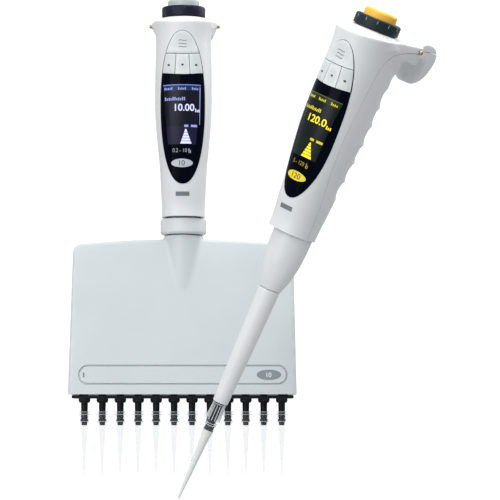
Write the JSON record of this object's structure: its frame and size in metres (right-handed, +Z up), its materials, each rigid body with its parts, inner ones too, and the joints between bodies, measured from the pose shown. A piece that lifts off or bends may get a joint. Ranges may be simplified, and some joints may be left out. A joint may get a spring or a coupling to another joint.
{
  "type": "pipette set",
  "caption": "Electronic pipette set: an upright multichannel pipette and a leaning single-channel one, each with a finger hook, display and tip ejector.",
  "frame": {"origin": "flat seat under the finger hook of the multichannel pipette, where a stand's bar holds it", "axes": "+Z up along the multichannel shaft, front (displays) towards -Y, +X to the right seen from the front"},
  "size_m": [0.1795, 0.1668, 0.2495],
  "materials": {
    "white_shell": "satin moulded white",
    "grey_block": "satin moulded cool light grey",
    "pale_key": "fine matt",
    "black_window": "polished, nearly black",
    "navy_wheel": "soft-touch dark navy",
    "slate_wheel": "soft-touch dark slate",
    "pale_button": "satin pale grey",
    "yellow_button": "satin amber yellow",
    "black_plastic": "moulded black",
    "seal_rubber": "matt black",
    "brass_contact": "plated",
    "steel": "brushed",
    "aluminium_plate": "milled",
    "circuit_green": "solder mask",
    "battery_wrap": "shrink sleeve",
    "clear_tip": "clear polypropylene",
    "frosted_tip": "frosted translucent polypropylene"
  },
  "bodies": {
    "multi_handle": {"multi_front_shell": "white_shell", "multi_rear_shell": "white_shell", "multi_display_window": "black_window", "multi_display_module": "steel", "multi_circuit_board": "circuit_green", "multi_battery": "battery_wrap", "multi_drive_motor": "steel", "multi_charging_contact_left": "brass_contact", "multi_charging_contact_right": "brass_contact"},
    "multi_wheel": {"multi_adjustment_wheel": "navy_wheel"},
    "multi_button": {"multi_operating_button": "pale_button"},
    "multi_eject_key": {"multi_eject_key": "pale_key"},
    "multi_soft_key_left": {"multi_soft_key_left": "pale_key"},
    "multi_soft_key_middle": {"multi_soft_key_middle": "pale_key"},
    "multi_soft_key_right": {"multi_soft_key_right": "pale_key"},
    "multi_plunger": {"multi_lead_screw": "steel"},
    "single_handle": {"single_front_shell": "white_shell", "single_rear_shell": "white_shell", "single_display_window": "black_window", "single_display_module": "steel", "single_circuit_board": "circuit_green", "single_battery": "battery_wrap", "single_drive_motor": "steel", "single_charging_contact_left": "brass_contact", "single_charging_contact_right": "brass_contact", "single_barrel": "white_shell", "single_nozzle": "black_plastic", "single_nozzle_seal": "seal_rubber"},
    "single_wheel": {"single_adjustment_wheel": "slate_wheel"},
    "single_button": {"single_operating_button": "yellow_button"},
    "single_eject_key": {"single_eject_key": "pale_key"},
    "single_soft_key_left": {"single_soft_key_left": "pale_key"},
    "single_soft_key_middle": {"single_soft_key_middle": "pale_key"},
    "single_soft_key_right": {"single_soft_key_right": "pale_key"},
    "single_plunger": {"single_lead_screw": "steel", "single_piston": "steel"},
    "multi_block": {"multi_coupling_ring": "grey_block", "multi_block_front_cover": "grey_block", "multi_block_rear_cover": "grey_block", "multi_cone_bar": "black_plastic"},
    "multi_pistons": {"multi_piston_plate": "aluminium_plate"},
    "multi_ejector": {"multi_ejector_comb": "black_plastic"},
    "multi_tips": {"multi_tip_01": "clear_tip", "multi_tip_02": "clear_tip", "multi_tip_03": "clear_tip", "multi_tip_04": "clear_tip", "multi_tip_05": "clear_tip", "multi_tip_06": "clear_tip", "multi_tip_07": "clear_tip", "multi_tip_08": "clear_tip", "multi_tip_09": "clear_tip", "multi_tip_10": "clear_tip", "multi_tip_11": "clear_tip", "multi_tip_12": "clear_tip"},
    "single_ejector": {"single_ejector_sleeve": "white_shell", "single_ejector_rod": "steel"},
    "single_tip_body": {"single_tip": "frosted_tip"}
  },
  "joints": [
    {"name": "multi_wheel_turn", "type": "hinge", "parent": "multi_handle", "child": "multi_wheel", "pos_m": [0, -0.0316, 0.002], "axis": [0, -0.0523, 0.9986], "continuous": true},
    {"name": "multi_button_press", "type": "slide", "parent": "multi_handle", "child": "multi_button", "axis": [0, 0.0523, -0.9986], "range_m": [0, 0.0035], "stiffness_N_per_m": 400, "springref_m": -0.001},
    {"name": "multi_eject_key_press", "type": "slide", "parent": "multi_handle", "child": "multi_eject_key", "axis": [0, 0.9959, 0.0906], "range_m": [0, 0.001], "stiffness_N_per_m": 600, "springref_m": -0.0005},
    {"name": "multi_soft_key_left_press", "type": "slide", "parent": "multi_handle", "child": "multi_soft_key_left", "axis": [0, 0.9959, 0.0906], "range_m": [0, 0.0008], "stiffness_N_per_m": 600, "springref_m": -0.0005},
    {"name": "multi_soft_key_middle_press", "type": "slide", "parent": "multi_handle", "child": "multi_soft_key_middle", "axis": [0, 0.9959, 0.0906], "range_m": [0, 0.0008], "stiffness_N_per_m": 600, "springref_m": -0.0005},
    {"name": "multi_soft_key_right_press", "type": "slide", "parent": "multi_handle", "child": "multi_soft_key_right", "axis": [0, 0.9959, 0.0906], "range_m": [0, 0.0008], "stiffness_N_per_m": 600, "springref_m": -0.0005},
    {"name": "multi_plunger_stroke", "type": "slide", "parent": "multi_handle", "child": "multi_plunger", "axis": [0, 0, -1], "range_m": [0, 0.014]},
    {"name": "single_wheel_turn", "type": "hinge", "parent": "single_handle", "child": "single_wheel", "pos_m": [0.09009, -0.1337, -0.02245], "axis": [0.3664, -0.2204, 0.904], "continuous": true},
    {"name": "single_button_press", "type": "slide", "parent": "single_handle", "child": "single_button", "axis": [-0.3664, 0.2204, -0.904], "range_m": [0, 0.0035], "stiffness_N_per_m": 400, "springref_m": -0.001},
    {"name": "single_eject_key_press", "type": "slide", "parent": "single_handle", "child": "single_eject_key", "axis": [0.5818, 0.8133, 0.005], "range_m": [0, 0.001], "stiffness_N_per_m": 600, "springref_m": -0.0005},
    {"name": "single_soft_key_left_press", "type": "slide", "parent": "single_handle", "child": "single_soft_key_left", "axis": [0.5818, 0.8133, 0.005], "range_m": [0, 0.0008], "stiffness_N_per_m": 600, "springref_m": -0.0005},
    {"name": "single_soft_key_middle_press", "type": "slide", "parent": "single_handle", "child": "single_soft_key_middle", "axis": [0.5818, 0.8133, 0.005], "range_m": [0, 0.0008], "stiffness_N_per_m": 600, "springref_m": -0.0005},
    {"name": "single_soft_key_right_press", "type": "slide", "parent": "single_handle", "child": "single_soft_key_right", "axis": [0.5818, 0.8133, 0.005], "range_m": [0, 0.0008], "stiffness_N_per_m": 600, "springref_m": -0.0005},
    {"name": "single_plunger_stroke", "type": "slide", "parent": "single_handle", "child": "single_plunger", "axis": [-0.3956, 0.1771, -0.9012], "range_m": [0, 0.014]},
    {"name": "multi_block_swivel", "type": "hinge", "parent": "multi_handle", "child": "multi_block", "pos_m": [0, -0.026, -0.0977], "axis": [0, 0, 1], "continuous": true},
    {"name": "multi_piston_stroke", "type": "slide", "parent": "multi_block", "child": "multi_pistons", "axis": [0, 0, -1], "range_m": [0, 0.014]},
    {"name": "multi_ejector_stroke", "type": "slide", "parent": "multi_block", "child": "multi_ejector", "axis": [0, 0, -1], "range_m": [0, 0.01], "stiffness_N_per_m": 300, "springref_m": -0.003},
    {"name": "multi_tips_release", "type": "slide", "parent": "multi_block", "child": "multi_tips", "axis": [0, 0, -1], "range_m": [0, 0.0065]},
    {"name": "single_lift_away", "type": "slide", "parent": "multi_handle", "child": "single_handle", "axis": [0, 0, 1], "range_m": [0, 0.12]},
    {"name": "single_ejector_stroke", "type": "slide", "parent": "single_handle", "child": "single_ejector", "axis": [-0.3956, 0.1771, -0.9012], "range_m": [0, 0.008], "stiffness_N_per_m": 300, "springref_m": -0.003},
    {"name": "single_tip_release", "type": "slide", "parent": "single_handle", "child": "single_tip_body", "axis": [-0.3956, 0.1771, -0.9012], "range_m": [0, 0.008]}
  ],
  "couplings": [
    {"joint": "multi_piston_stroke", "follows": "multi_plunger_stroke", "ratio": 1},
    {"joint": "multi_tips_release", "follows": "multi_ejector_stroke", "ratio": 0.65},
    {"joint": "single_tip_release", "follows": "single_ejector_stroke", "ratio": 1}
  ]
}
